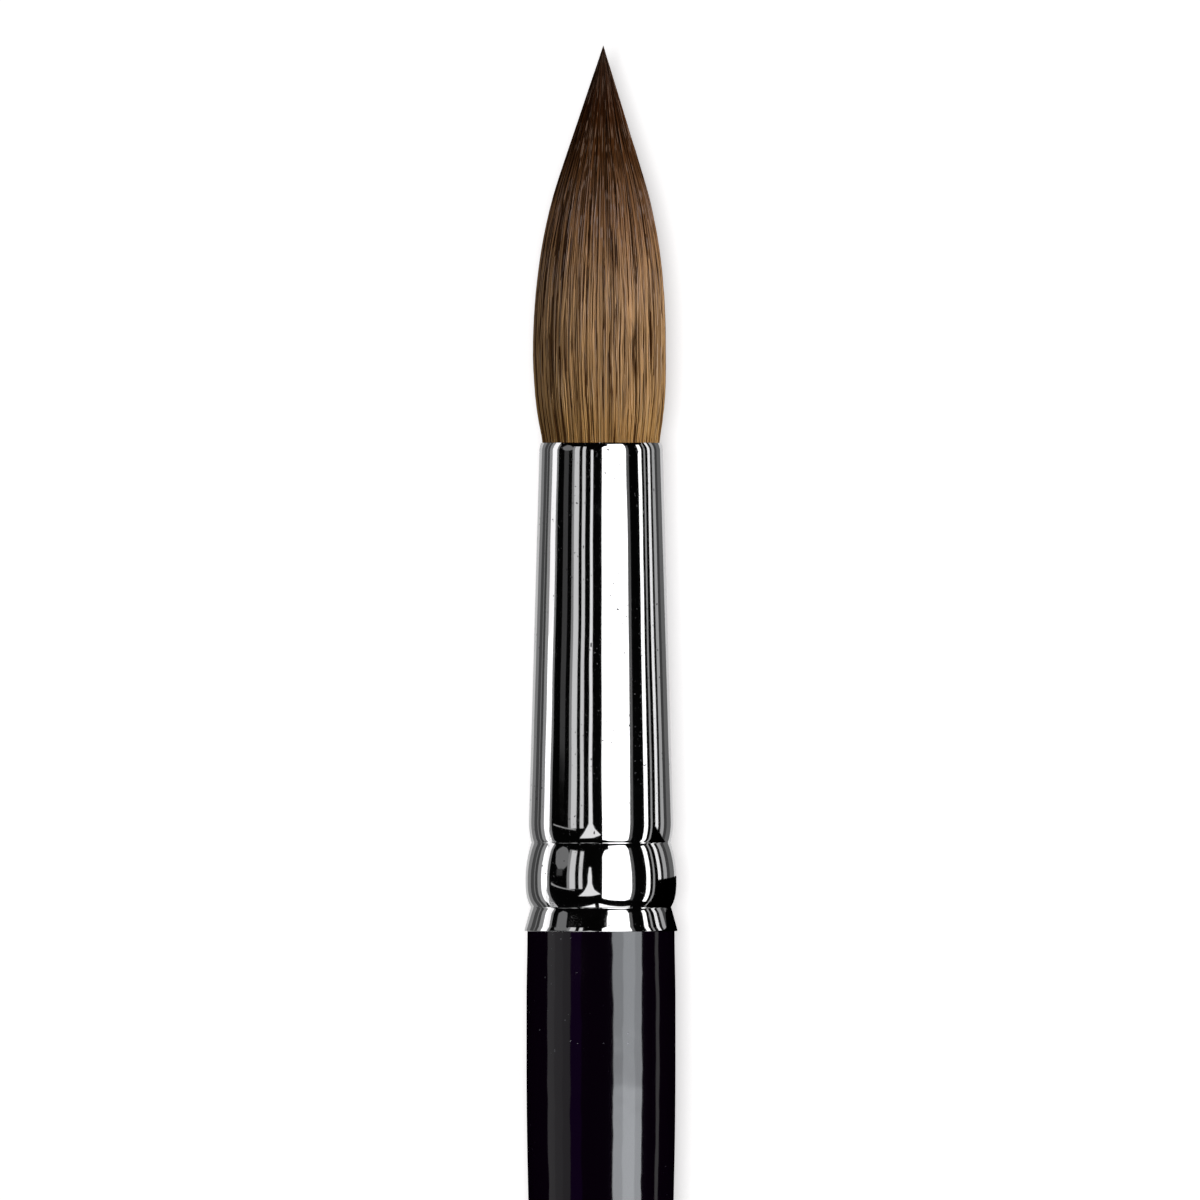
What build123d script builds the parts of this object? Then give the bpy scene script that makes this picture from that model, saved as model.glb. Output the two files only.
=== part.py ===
from build123d import *
import math
import os

# A pointed round hair brush, lying along X with the hair towards +X. Millimetres.
# Origin: middle of the length, under the axis, on the plane that the flared rim touches.

# Ferrule. Stations on it are measured from its mouth towards the handle.
FERRULE_LENGTH = 42.7
FERRULE_WALL = 0.25
MOUTH_RADIUS = 5.32
CONE_END_RADIUS = 6.25
CRIMP_LEAD = 1.95
CRIMP_FROM_RIM = 7.75
CRIMP_RADIUS = 6.09
BEAD_FROM_RIM = 4.8
BEAD_RADIUS = 6.56
GROOVE_FROM_RIM = 2.1
GROOVE_RADIUS = 6.25
RIM_RADIUS = 6.69
RIM_LIP = 0.35
VALLEY_FILLET = 0.3
EDGE_ROUND = 0.12

# Handle. Stations on it are measured from the ferrule's rim towards the tail.
HANDLE_LENGTH = 150.5
LACQUER_COAT = 0.2
BARREL_RADIUS = 6.52
BARREL_STATION = 6.0
BARREL_LENGTH = 6.0
TAPER_FULLNESS = 26.0
TAIL_RADIUS = 2.5
TAIL_DRAW = 70.0
TAIL_RISE = 0.9

# Tenon inside the ferrule
TENON_FROM_PLUG = 7.1
TENON_CHAMFER = 0.6
GLUE_FILM = 0.12
GLUE_SETBACK = 0.8
COLLAR_LENGTH = 1.3

# Hair outside the ferrule. Stations on it are measured from the mouth towards the tip.
TUFT_LENGTH = 34.8
BELLY_STATION = 8.1
BELLY_RADIUS = 5.83
SHOULDER_STATION = 23.0
SHOULDER_RADIUS = 3.81
MOUTH_SLOPE = 0.24
SHOULDER_SLOPE = -0.30
TIP_RADIUS = 0.14

# Links of the bending hair: station and swing in degrees of each hinge
HINGES = ((6.0, 10.0), (14.0, 17.0), (23.5, 23.0))
BALL_EXTRA = 0.1
SOCKET_GAP = 0.15
SOCKET_LIP = 0.15
SOCKET_FLOOR = 0.8
SWING_MARGIN = 1.0

# Hair root inside the ferrule, with the ferrule's stations
ROOT_LENGTH = 14.0
ROOT_FULL_LENGTH = 7.5
BUTT_RADIUS = 5.05
TIE_STATION = 11.0
TIE_RADIUS = 4.7
TIE_WIDTH = 2.2
THREAD_DIAMETER = 0.38
THREAD_PITCH = 0.42
THREAD_TURNS = 4
THREAD_GAP = 0.02
PLUG_STATION = 12.5
PLUG_LENGTH = 4.6

TOTAL_LENGTH = TUFT_LENGTH + FERRULE_LENGTH + HANDLE_LENGTH
TIP_X = TOTAL_LENGTH / 2
MOUTH_X = TIP_X - TUFT_LENGTH
RIM_X = MOUTH_X - FERRULE_LENGTH
AXIS_HEIGHT = max(RIM_RADIUS, BEAD_RADIUS, BARREL_RADIUS, BELLY_RADIUS)
SEAM_TURN = 2.8
TALL = 4 * AXIS_HEIGHT

CONE_LENGTH = FERRULE_LENGTH - CRIMP_FROM_RIM - CRIMP_LEAD
CONE_SLOPE = (CONE_END_RADIUS - MOUTH_RADIUS) / CONE_LENGTH
BORE_MOUTH_RADIUS = MOUTH_RADIUS - FERRULE_WALL
COLLAR_STATION = FERRULE_LENGTH - COLLAR_LENGTH
TENON_STATION = PLUG_STATION + PLUG_LENGTH + TENON_FROM_PLUG
GLUE_STATION = TENON_STATION + GLUE_SETBACK


def band(start_x, end_x):
    """Strip of the drawing plane between two places along the axis, from the axis up."""
    return Pos((start_x + end_x) / 2, TALL / 2) * Rectangle(abs(end_x - start_x), TALL)


def turned(face):
    """Solid of revolution of a face drawn as (x, radius), with its seam turned off the level."""
    return Pos(0, 0, AXIS_HEIGHT) * Rot(SEAM_TURN, 0, 0) * revolve(face, Axis.X, 360)


def near(face, x, radius):
    """The face's corner nearest to a place."""
    return face.vertices().sort_by_distance((x, radius, 0))[0]


def cubic(start, start_slope, end, end_slope):
    """Curve between two points whose radius is a cubic of the place along the axis."""
    third = (end[0] - start[0]) / 3
    leaving = (start[0] + third, start[1] + third * start_slope)
    arriving = (end[0] - third, end[1] - third * end_slope)
    return Bezier(start, leaving, arriving, end)


# Ferrule

def under_ferrule(inset, start, end):
    """Half section inside the ferrule's outline, drawn in by inset, between two stations."""
    def at(station, radius):
        return (MOUTH_X - station, radius - inset)

    mouth = at(0, MOUTH_RADIUS)
    cone_end = at(CONE_LENGTH, CONE_END_RADIUS)
    crimp = at(FERRULE_LENGTH - CRIMP_FROM_RIM, CRIMP_RADIUS)
    bead = at(FERRULE_LENGTH - BEAD_FROM_RIM, BEAD_RADIUS)
    groove = at(FERRULE_LENGTH - GROOVE_FROM_RIM, GROOVE_RADIUS)
    lip = at(FERRULE_LENGTH - RIM_LIP, RIM_RADIUS)
    rim = at(FERRULE_LENGTH, RIM_RADIUS)
    edges = [
        Line(mouth, cone_end),
        TangentArc(cone_end, crimp, tangent=(-1, CONE_SLOPE)),
        ThreePointArc(crimp, bead, groove),
        Line(groove, lip),
        Line(lip, rim),
        Line(rim, (RIM_X, 0)),
        Line((RIM_X, 0), (MOUTH_X, 0)),
        Line((MOUTH_X, 0), mouth),
    ]
    face = make_face(edges)
    face = fillet([near(face, *crimp), near(face, *groove)], VALLEY_FILLET)
    return face & band(MOUTH_X - start, MOUTH_X - end)


def make_ferrule():
    """Drawn tube: a cone, a crimp, a bead, a groove and a flared rim."""
    shell = under_ferrule(0, 0, FERRULE_LENGTH) - under_ferrule(FERRULE_WALL, 0, FERRULE_LENGTH)
    round_over = min(EDGE_ROUND, FERRULE_WALL / 2)
    outer_mouth = near(shell, MOUTH_X, MOUTH_RADIUS)
    outer_rim = near(shell, RIM_X, RIM_RADIUS)
    shell = fillet([outer_mouth, outer_rim], round_over)
    return turned(shell)


# Handle

def handle_section(inset):
    """Half section of the handle behind the rim, drawn in by inset."""
    def at(station, radius):
        return (RIM_X - station, radius - inset)

    dome_station = HANDLE_LENGTH - TAIL_RADIUS
    barrel_end = BARREL_STATION + BARREL_LENGTH
    shoulder = at(0, RIM_RADIUS - FERRULE_WALL)
    barrel_start = at(BARREL_STATION, BARREL_RADIUS)
    taper_start = at(barrel_end, BARREL_RADIUS)
    taper_end = at(dome_station, TAIL_RADIUS)
    dome_radius = TAIL_RADIUS - inset
    dome_x = RIM_X - dome_station
    eighth = dome_radius * math.sqrt(0.5)
    tail = (dome_x - dome_radius, 0)
    taper = Bezier(
        taper_start,
        at(barrel_end + TAPER_FULLNESS, BARREL_RADIUS),
        at(dome_station - TAIL_DRAW, TAIL_RADIUS + TAIL_RISE),
        taper_end,
    )
    edges = [
        cubic(shoulder, 0, barrel_start, 0),
        Line(barrel_start, taper_start),
        taper,
        ThreePointArc(taper_end, (dome_x - eighth, eighth), tail),
        Line(tail, (RIM_X, 0)),
        Line((RIM_X, 0), shoulder),
    ]
    return make_face(edges)


def lacquered(inset):
    """Half section of the handle and its collar under the flared rim, drawn in by inset."""
    collar = under_ferrule(FERRULE_WALL + inset, COLLAR_STATION, FERRULE_LENGTH)
    return collar + handle_section(inset)


def make_lacquer():
    """Lacquer coat from under the flared rim to the tail."""
    return turned(lacquered(0) - lacquered(LACQUER_COAT))


def make_core():
    """Turned wood: the tenon, pressed into the crimp and the bead, and the handle."""
    tenon = under_ferrule(FERRULE_WALL + GLUE_FILM, TENON_STATION, COLLAR_STATION)
    corner = max(tenon.vertices(), key=lambda v: v.X + v.Y)
    tenon = chamfer(corner, TENON_CHAMFER)
    return turned(tenon + lacquered(LACQUER_COAT))


def make_tenon_glue():
    """Glue film between the tenon and the ferrule."""
    outside = under_ferrule(FERRULE_WALL, GLUE_STATION, COLLAR_STATION)
    inside = under_ferrule(FERRULE_WALL + GLUE_FILM, GLUE_STATION, COLLAR_STATION)
    return turned(outside - inside)


# Hair root, thread and plug

def root_section():
    """Half section of the hair inside the ferrule, waisted where it is tied."""
    def at(station, radius):
        return (MOUTH_X - station, radius)

    full = at(ROOT_FULL_LENGTH, BORE_MOUTH_RADIUS + CONE_SLOPE * ROOT_FULL_LENGTH)
    tie_start = at(TIE_STATION - TIE_WIDTH / 2, TIE_RADIUS)
    tie_end = at(TIE_STATION + TIE_WIDTH / 2, TIE_RADIUS)
    butt = at(ROOT_LENGTH, BUTT_RADIUS)
    mouth = at(0, BORE_MOUTH_RADIUS)
    edges = [
        Line(mouth, full),
        cubic(full, -CONE_SLOPE, tie_start, 0),
        Line(tie_start, tie_end),
        cubic(tie_end, 0, butt, 0),
        Line(butt, at(ROOT_LENGTH, 0)),
        Line(at(ROOT_LENGTH, 0), at(0, 0)),
        Line(at(0, 0), mouth),
    ]
    return make_face(edges)


def make_root():
    """Hair bundle from the mouth to its butt."""
    return turned(root_section())


def make_plug():
    """Resin plug that caps the butt of the hair and seals the bore."""
    bore = under_ferrule(FERRULE_WALL, PLUG_STATION, PLUG_STATION + PLUG_LENGTH)
    return turned(bore - root_section())


def make_thread():
    """Binding thread, wound round the waist of the root."""
    coil_radius = TIE_RADIUS + THREAD_GAP + THREAD_DIAMETER / 2
    coil_length = THREAD_TURNS * THREAD_PITCH
    path = Helix(THREAD_PITCH, coil_length, coil_radius)
    section = Plane(origin=path @ 0, z_dir=path % 0) * Circle(THREAD_DIAMETER / 2)
    thread = sweep(section, path, is_frenet=True)
    start_x = MOUTH_X - TIE_STATION - coil_length / 2
    return Pos(start_x, 0, AXIS_HEIGHT) * Rot(0, 90, 0) * thread


# Hair outside the ferrule

def tuft_radius(station):
    """Radius of the hair at a station, which the links' balls and sockets are sized by."""
    if station >= SHOULDER_STATION:
        return SHOULDER_RADIUS * (TUFT_LENGTH - station) / (TUFT_LENGTH - SHOULDER_STATION)
    if station >= BELLY_STATION:
        ends = (BELLY_STATION, BELLY_RADIUS, 0, SHOULDER_STATION, SHOULDER_RADIUS, SHOULDER_SLOPE)
    else:
        ends = (0, BORE_MOUTH_RADIUS, MOUTH_SLOPE, BELLY_STATION, BELLY_RADIUS, 0)
    start, start_radius, start_slope, end, end_radius, end_slope = ends
    span = end - start
    t = (station - start) / span
    value = start_radius * (2 * t**3 - 3 * t**2 + 1) + end_radius * (3 * t**2 - 2 * t**3)
    return value + span * (start_slope * (t**3 - 2 * t**2 + t) + end_slope * (t**3 - t**2))


def tuft_section():
    """Half section of the hair from the mouth to the tip."""
    mouth = (MOUTH_X, BORE_MOUTH_RADIUS)
    belly = (MOUTH_X + BELLY_STATION, BELLY_RADIUS)
    shoulder = (MOUTH_X + SHOULDER_STATION, SHOULDER_RADIUS)
    slope = math.atan2(SHOULDER_RADIUS, TUFT_LENGTH - SHOULDER_STATION)
    centre_x = TIP_X - TIP_RADIUS
    touch = (centre_x + TIP_RADIUS * math.sin(slope), TIP_RADIUS * math.cos(slope))
    half = (math.pi / 2 + slope) / 2 - slope
    middle = (centre_x + TIP_RADIUS * math.sin(slope + half), TIP_RADIUS * math.cos(slope + half))
    edges = [
        cubic(mouth, MOUTH_SLOPE, belly, 0),
        cubic(belly, 0, shoulder, SHOULDER_SLOPE),
        Line(shoulder, touch),
        ThreePointArc(touch, middle, (TIP_X, 0)),
        Line((TIP_X, 0), (MOUTH_X, 0)),
        Line((MOUTH_X, 0), mouth),
    ]
    return make_face(edges)


def ball_radius(station):
    """Radius of the ball that a link turns on, a little over the hair's own."""
    return tuft_radius(station) + BALL_EXTRA


def lip_setback(station):
    """How far behind a hinge the socket's wall is SOCKET_LIP thick."""
    socket = ball_radius(station) + SOCKET_GAP
    setback = 0.0
    while tuft_radius(station - setback) - math.sqrt(socket**2 - setback**2) < SOCKET_LIP:
        setback += 0.01
    return setback


def ball_section(index):
    """Half disc of a link's ball, cut flat where the socket behind it has a floor."""
    station, swing = HINGES[index]
    radius = ball_radius(station)
    ball = Pos(MOUTH_X + station, 0) * Circle(radius)
    room = station - SOCKET_FLOOR - SOCKET_GAP
    if index or room >= radius:
        return ball
    flat = radius * math.cos(math.radians(swing + SWING_MARGIN) + math.acos(room / radius))
    return ball & band(MOUTH_X + station - flat, MOUTH_X + station + radius)


def socket_section(index):
    """What is cut from a link's front for the next link's ball and swing."""
    station = HINGES[index][0]
    hinge_x = MOUTH_X + station
    disc = Pos(hinge_x, 0) * Circle(ball_radius(station) + SOCKET_GAP)
    if index == 0:
        disc = disc & band(MOUTH_X + SOCKET_FLOOR, TIP_X)
    return disc + band(hinge_x - lip_setback(station), TIP_X + TIP_RADIUS)


def make_link(index):
    """Link of hair number index, from 0 at the ferrule to the last at the tip."""
    section = tuft_section()
    if index < len(HINGES):
        section = section - socket_section(index)
    if index > 0:
        hinge_x = MOUTH_X + HINGES[index - 1][0]
        front = section & band(hinge_x, TIP_X)
        section = front + (section & ball_section(index - 1) & band(MOUTH_X, hinge_x))
    return turned(section)


pieces = {
    "ferrule": make_ferrule,
    "handle_core": make_core,
    "handle_lacquer": make_lacquer,
    "tenon_glue": make_tenon_glue,
    "tuft_root": make_root,
    "root_thread": make_thread,
    "root_glue_plug": make_plug,
}
links = ("tuft_base", "tuft_belly", "tuft_shoulder", "tuft_point")

os.makedirs("parts", exist_ok=True)
for name, make in pieces.items():
    export_step(make(), f"parts/{name}.step")
for index, name in enumerate(links):
    export_step(make_link(index), f"parts/{name}.step")
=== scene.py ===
"""Builds the looks of a pointed round lettering brush around its packed construction model.

The brush lies along X with its hair towards +X, on a pale floor at height 0. All sizes are in
metres.
"""

from __future__ import annotations

import logging
import math
from dataclasses import dataclass, field
from enum import Enum
from typing import Sequence

import bpy
import numpy as np
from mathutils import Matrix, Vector

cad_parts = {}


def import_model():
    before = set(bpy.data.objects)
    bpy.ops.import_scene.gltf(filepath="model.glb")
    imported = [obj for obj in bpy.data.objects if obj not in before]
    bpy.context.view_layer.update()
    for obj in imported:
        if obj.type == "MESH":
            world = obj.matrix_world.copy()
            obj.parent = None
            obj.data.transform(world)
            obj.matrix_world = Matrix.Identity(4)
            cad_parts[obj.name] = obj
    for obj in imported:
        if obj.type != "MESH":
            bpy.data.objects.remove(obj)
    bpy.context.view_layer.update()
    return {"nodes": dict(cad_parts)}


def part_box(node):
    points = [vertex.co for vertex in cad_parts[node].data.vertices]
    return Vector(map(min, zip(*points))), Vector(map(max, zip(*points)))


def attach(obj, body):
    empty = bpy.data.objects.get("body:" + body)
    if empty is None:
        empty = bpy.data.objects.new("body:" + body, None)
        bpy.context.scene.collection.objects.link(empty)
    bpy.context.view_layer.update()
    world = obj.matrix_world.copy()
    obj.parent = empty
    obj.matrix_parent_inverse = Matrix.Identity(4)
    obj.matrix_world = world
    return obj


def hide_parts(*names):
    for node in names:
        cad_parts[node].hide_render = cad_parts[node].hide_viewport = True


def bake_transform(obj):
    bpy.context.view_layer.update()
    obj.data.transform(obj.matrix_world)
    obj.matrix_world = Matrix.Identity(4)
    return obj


LOG = logging.getLogger("brush")
MM = 0.001
BAKE_MAP = "OFBake"
WELD = MM / 400
TUFT_LENGTH = 34.8 * MM
STRIP_DISTANCE = 0.36
WATTS_PER_RADIANCE = 4.0

Point = tuple[float, float]
Colour = tuple[float, float, float]


class Body(Enum):
    """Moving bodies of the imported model."""

    ROOT = "root"
    LOWER = "tuft_lower"
    MIDDLE = "tuft_middle"
    UPPER = "tuft_upper"


class Slot(Enum):
    """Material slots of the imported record."""

    NICKEL = "ferrule_nickel"
    WOOD = "handle_wood"
    LACQUER = "handle_lacquer"
    RESIN = "resin"
    THREAD = "thread"
    HAIR = "hair"


# Shader building


class Signal:
    """A shader value that takes part in Python arithmetic.

    Args:
        bench: The material bench that new Math nodes are added to.
        socket: The output socket that carries the value.
    """

    def __init__(self, bench: "Bench", socket: bpy.types.NodeSocket) -> None:
        self.bench = bench
        self.socket = socket

    def _math(self, operation: str, first: object, second: object = 0.0) -> "Signal":
        """Adds one Math node.

        Args:
            operation: What the node does.
            first: Its first number or Signal.
            second: Its second number or Signal.

        Returns:
            The result.
        """
        node = self.bench.node("ShaderNodeMath", {"operation": operation}, {0: first, 1: second})
        return Signal(self.bench, node.outputs[0])

    def __add__(self, other: object) -> "Signal":
        """Sum."""
        return self._math("ADD", self, other)

    __radd__ = __add__

    def __sub__(self, other: object) -> "Signal":
        """Difference."""
        return self._math("SUBTRACT", self, other)

    def __rsub__(self, other: object) -> "Signal":
        """Difference with the value on the right."""
        return self._math("SUBTRACT", other, self)

    def __mul__(self, other: object) -> "Signal":
        """Product."""
        return self._math("MULTIPLY", self, other)

    __rmul__ = __mul__

    def clamped(self) -> "Signal":
        """Value held between 0 and 1."""
        node = self.bench.node("ShaderNodeClamp", {}, {"Value": self})
        return Signal(self.bench, node.outputs[0])

    def above(self, low: float, high: float) -> "Signal":
        """Soft step.

        Args:
            low: Value at which the step leaves 0.
            high: Value at which the step reaches 1.

        Returns:
            The stepped value.
        """
        settings = {"interpolation_type": "SMOOTHSTEP"}
        values = {"Value": self, "From Min": low, "From Max": high}
        node = self.bench.node("ShaderNodeMapRange", settings, values)
        return Signal(self.bench, node.outputs[0])


class Bench:
    """Lays out the nodes of one material.

    Args:
        name: Name of the material.
    """

    def __init__(self, name: str) -> None:
        self.material = bpy.data.materials.new(name)
        self.material.use_nodes = True
        self.tree = self.material.node_tree
        self.tree.nodes.clear()

    def node(self, kind: str, settings: dict, inputs: dict) -> bpy.types.Node:
        """Adds a node.

        Args:
            kind: The node's type.
            settings: Attributes that are set first; "stops" gives a colour ramp's stops.
            inputs: Value, Signal or output socket for each input, by name or number.

        Returns:
            The node.
        """
        node = self.tree.nodes.new(kind)
        for key, value in settings.items():
            if key == "stops":
                self._set_stops(node.color_ramp, value)
            else:
                setattr(node, key, value)
        for key, value in inputs.items():
            if isinstance(value, Signal):
                self.tree.links.new(value.socket, node.inputs[key])
            elif isinstance(value, bpy.types.NodeSocket):
                self.tree.links.new(value, node.inputs[key])
            else:
                node.inputs[key].default_value = value
        return node

    @staticmethod
    def _set_stops(ramp: bpy.types.ColorRamp, stops: Sequence[tuple[float, Colour]]) -> None:
        """Gives a colour ramp its stops.

        Args:
            ramp: A new ramp, which has two stops.
            stops: Place and colour of each stop, from low to high.
        """
        while len(ramp.elements) < len(stops):
            ramp.elements.new(1.0)
        for element, (place, colour) in zip(ramp.elements, stops):
            element.position = place
            element.color = (*colour, 1.0)

    def place(self) -> bpy.types.NodeSocket:
        """Object coordinates."""
        return self.node("ShaderNodeTexCoord", {}, {}).outputs["Object"]

    def stretched(self, scale: tuple[float, float, float]) -> bpy.types.NodeSocket:
        """Object coordinates multiplied by a scale on each axis."""
        values = {0: self.place(), 1: scale}
        return self.node("ShaderNodeVectorMath", {"operation": "MULTIPLY"}, values).outputs[0]

    def cell(self, *parts: object) -> bpy.types.NodeSocket:
        """Vector made of up to three values."""
        return self.node("ShaderNodeCombineXYZ", {}, dict(enumerate(parts))).outputs[0]

    def attribute(self, name: str) -> Signal:
        """A number stored on the mesh."""
        node = self.node("ShaderNodeAttribute", {"attribute_name": name}, {})
        return Signal(self, node.outputs["Fac"])

    def noise(self, vector: object, scale: float, detail: float = 2.0) -> Signal:
        """Smooth noise from 0 to 1."""
        values = {"Vector": vector, "Scale": scale, "Detail": detail}
        return Signal(self, self.node("ShaderNodeTexNoise", {}, values).outputs[0])

    def ramp(self, value: object, stops: Sequence[tuple[float, Colour]]) -> bpy.types.NodeSocket:
        """Colour read off a ramp."""
        node = self.node("ShaderNodeValToRGB", {"stops": stops}, {0: value})
        return node.outputs[0]

    def mix(self, factor: object, first: object, second: object) -> bpy.types.NodeSocket:
        """Blend of two colours."""
        values = {0: factor, 6: self._rgba(first), 7: self._rgba(second)}
        return self.node("ShaderNodeMix", {"data_type": "RGBA"}, values).outputs[2]

    @staticmethod
    def _rgba(colour: object) -> object:
        """Adds full alpha to a plain colour."""
        plain = isinstance(colour, tuple) and len(colour) == 3
        return (*colour, 1.0) if plain else colour

    def bump(self, height: object, distance: float, onto: object = None) -> bpy.types.NodeSocket:
        """Normal roughened by a height.

        Args:
            height: Height from 0 to 1.
            distance: Depth of the full height.
            onto: Normal that the relief is laid over.

        Returns:
            The normal.
        """
        values = {"Height": height, "Distance": distance, "Strength": 1.0}
        if onto is not None:
            values["Normal"] = onto
        return self.node("ShaderNodeBump", {}, values).outputs[0]

    def finish(self, inputs: dict) -> bpy.types.Material:
        """Closes the material with a Principled surface."""
        plain = {key: self._rgba(value) for key, value in inputs.items()}
        surface = self.node("ShaderNodeBsdfPrincipled", {}, plain)
        self.node("ShaderNodeOutputMaterial", {}, {0: surface.outputs[0]})
        return self.material


# Finishes


@dataclass(frozen=True)
class NickelFinish:
    """Bright nickel plate on a drawn tube, with faint draw lines and a few pits."""

    colour: Colour = (0.88, 0.88, 0.89)
    pit_colour: Colour = (0.06, 0.06, 0.065)

    def material(self) -> bpy.types.Material:
        """Builds the material."""
        bench = Bench("nickel_plate")
        drawn = bench.noise(bench.stretched((24.0, 900.0, 900.0)), 1.0, 3.0)
        wave = bench.noise(bench.stretched((90.0, 160.0, 160.0)), 1.0, 1.0)
        dots = bench.noise(bench.stretched((1.0, 1.0, 1.0)), 4200.0, 0.0)
        crowd = bench.noise(bench.stretched((1.0, 1.0, 1.0)), 160.0, 1.0)
        pits = dots.above(0.77, 0.81) * crowd.above(0.42, 0.58)
        scuff = bench.noise(bench.stretched((1.0, 1.0, 1.0)), 700.0, 4.0).above(0.55, 0.75)
        relief = bench.bump(wave, 0.00007)
        return bench.finish({
            "Base Color": bench.mix(pits, self.colour, self.pit_colour),
            "Metallic": 1.0,
            "Roughness": 0.035 + drawn * 0.03 + scuff * 0.03 + pits * 0.3,
            "Normal": bench.bump(drawn, 0.0000012, relief),
        })


@dataclass(frozen=True)
class LacquerFinish:
    """Black gloss lacquer over turned wood, with a slow ripple and a little dust."""

    colour: Colour = (0.0110, 0.0020, 0.0150)
    dust_colour: Colour = (0.16, 0.16, 0.19)

    def material(self) -> bpy.types.Material:
        """Builds the material."""
        bench = Bench("black_lacquer")
        ripple = bench.noise(bench.stretched((150.0, 170.0, 170.0)), 1.0, 2.0)
        orange_peel = bench.noise(bench.stretched((0.5, 1.0, 1.0)), 900.0, 1.0)
        dots = bench.noise(bench.stretched((1.0, 1.0, 1.0)), 3600.0, 0.0)
        crowd = bench.noise(bench.stretched((1.0, 1.0, 1.0)), 120.0, 1.0)
        dust = dots.above(0.82, 0.85) * crowd.above(0.5, 0.62)
        haze = bench.noise(bench.stretched((30.0, 200.0, 200.0)), 1.0, 3.0)
        relief = bench.bump(ripple, 0.0001)
        return bench.finish({
            "Base Color": bench.mix(dust, self.colour, self.dust_colour),
            "Roughness": 0.05 + haze * 0.05 + dust * 0.3,
            "Normal": bench.bump(orange_peel, 0.0000012, relief),
            "IOR": 1.52,
        })


@dataclass(frozen=True)
class Streaks:
    """Noise that runs along each hair and differs from one tone to the next.

    Args:
        spread: How far apart two tones read the noise.
        pace: Number of changes over the tuft's length.
        shift: How far the tone moves the changes along the hair.
        layer: Which layer of the noise is read.
        detail: Fineness of the noise.
    """

    spread: float
    pace: float
    shift: float
    layer: float = 0.0
    detail: float = 1.0

    def read(self, bench: Bench, tone: Signal, station: Signal) -> Signal:
        """Noise from 0 to 1 at a tone and a station."""
        along = station * self.pace + tone * self.shift
        return bench.noise(bench.cell(tone * self.spread, along, self.layer), 1.0, self.detail)


@dataclass(frozen=True)
class HairFinish:
    """Sable hair that goes from golden brown at the ferrule to near black at the point.

    Each ramp gives colours by the share of the tuft's length. The shaded and lit ramps are dark and
    pale hair, mixed by a factor that also carries painted shade and a painted highlight on each
    hair; the sheen ramp is a painted sheen, also used for painted glints.
    """

    flecks: Streaks = Streaks(400.0, 7.0, 31.0, 0.0, 2.0)
    sheen_streaks: Streaks = Streaks(230.0, 3.0, 17.0, 7.0)
    dashes: Streaks = Streaks(610.0, 15.0, 53.0, 3.0)
    shaded: tuple[tuple[float, Colour], ...] = (
        (0.0, (0.085, 0.034, 0.008)),
        (0.2, (0.068, 0.028, 0.008)),
        (0.5, (0.044, 0.017, 0.006)),
        (0.75, (0.010, 0.0025, 0.0006)),
        (1.0, (0.008, 0.003, 0.001)),
    )
    lit: tuple[tuple[float, Colour], ...] = (
        (0.0, (0.490, 0.262, 0.074)),
        (0.15, (0.530, 0.300, 0.115)),
        (0.35, (0.540, 0.310, 0.140)),
        (0.55, (0.340, 0.165, 0.066)),
        (0.72, (0.125, 0.047, 0.013)),
        (0.85, (0.072, 0.020, 0.004)),
        (1.0, (0.100, 0.050, 0.030)),
    )
    # Lilac-grey colour that some hairs and the glints are mixed towards: painted sheen.
    painted_sheen: tuple[tuple[float, Colour], ...] = (
        (0.0, (0.60, 0.40, 0.17)),
        (0.25, (0.56, 0.42, 0.33)),
        (0.55, (0.42, 0.31, 0.27)),
        (0.72, (0.27, 0.165, 0.105)),
        (0.85, (0.27, 0.165, 0.11)),
        (1.0, (0.26, 0.19, 0.15)),
    )

    def material(self) -> bpy.types.Material:
        """Builds the material."""
        bench = Bench("sable_hair")
        tone = bench.attribute("tone")
        ridge_highlight = bench.attribute("ridge_highlight")
        station = bench.attribute("station")
        fleck = self.flecks.read(bench, tone, station)
        # Mix factor: the hair's own random tone and flecks, plus a painted highlight on each hair's
        # outward ridge; the tone also carries painted shade.
        light = (tone * 1.55 + fleck * 0.9 + ridge_highlight * 0.30 - 0.83).clamped()
        # Share of painted sheen on some hairs, less of it towards the point.
        cool = self.sheen_streaks.read(bench, tone, station).above(0.52, 0.66)
        cool = cool * (0.55 - station.above(0.6, 0.8) * 0.4)
        sheen_colour = bench.ramp(station, self.painted_sheen)
        lit = bench.mix(cool, bench.ramp(station, self.lit), sheen_colour)
        colour = bench.mix(light, bench.ramp(station, self.shaded), lit)
        # Short bright dashes towards the point: painted glints in the colour, which also raise the
        # coat.
        glint = self.dashes.read(bench, tone, station).above(0.585, 0.655)
        glint = glint * station.above(0.3, 0.75)
        colour = bench.mix(glint * 0.8, colour, sheen_colour)
        return bench.finish({
            "Base Color": colour,
            "Roughness": 0.34 + fleck * 0.14 + station.above(0.55, 0.85) * 0.35,
            "Specular IOR Level": 0.07,
            "Specular Tint": (1.0, 0.76, 0.60),
            "Coat Weight": (0.75 - station.above(0.35, 0.85) * 0.75) * light + glint * 0.5,
            "Coat Roughness": 0.3,
            "Coat IOR": 1.45,
        })


@dataclass(frozen=True)
class RootHairFinish:
    """Golden hair bundled inside the ferrule."""

    dark: Colour = (0.12, 0.06, 0.02)
    pale: Colour = (0.50, 0.31, 0.12)

    def material(self) -> bpy.types.Material:
        """Builds the material."""
        bench = Bench("root_hair")
        strands = bench.noise(bench.stretched((60.0, 5200.0, 5200.0)), 1.0, 2.0)
        return bench.finish({
            "Base Color": bench.mix(strands.above(0.35, 0.65), self.dark, self.pale),
            "Roughness": 0.6 - strands * 0.15,
            "Normal": bench.bump(strands, 0.00005),
        })


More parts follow.
